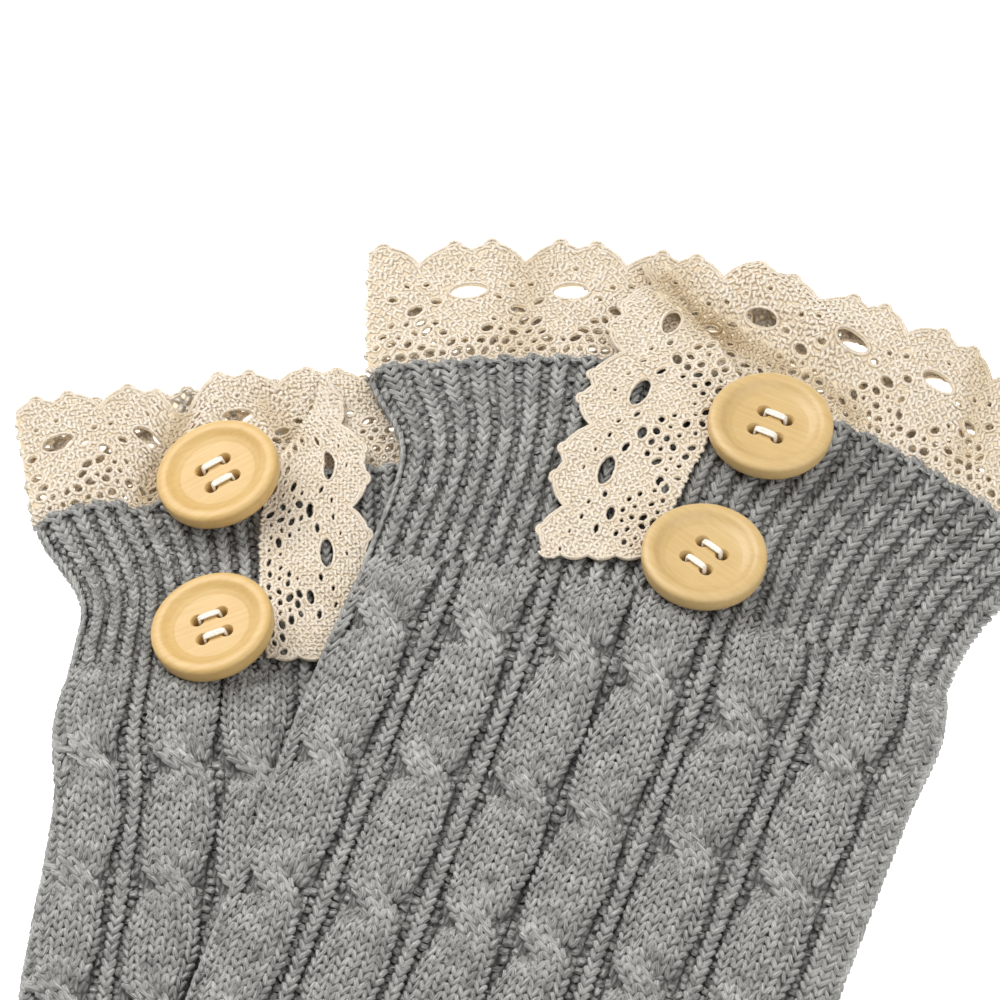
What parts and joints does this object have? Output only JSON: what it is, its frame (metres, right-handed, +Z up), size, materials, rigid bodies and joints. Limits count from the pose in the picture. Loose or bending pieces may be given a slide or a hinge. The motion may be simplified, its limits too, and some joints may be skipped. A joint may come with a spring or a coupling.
{
  "type": "pair of leg warmers",
  "caption": "Pair of grey cable-knit leg warmers laid flat, one over the other, with ribbed cuffs, cotton lace bands, turned-down lace flaps and wooden-look buttons.",
  "frame": {"origin": "on the surface the pair lies on, under the middle of its bounding box", "axes": "+Z up from the surface, +Y along the pair towards the lace cuffs, +X to the viewer's right"},
  "size_m": [0.2645, 0.4393, 0.0211],
  "materials": {
    "knit": "fuzzy grey melange knit",
    "lace": "matte ecru cotton lace",
    "button": "polished honey yellow"
  },
  "bodies": {
    "root": {"left_leg_tube": "knit", "left_lace_front": "lace", "left_lace_back": "lace", "left_lace_flap": "lace", "left_button_top": "button", "left_button_bottom": "button", "right_leg_tube": "knit", "right_lace_front": "lace", "right_lace_back": "lace", "right_lace_flap": "lace", "right_button_top": "button", "right_button_bottom": "button"}
  },
  "joints": []
}
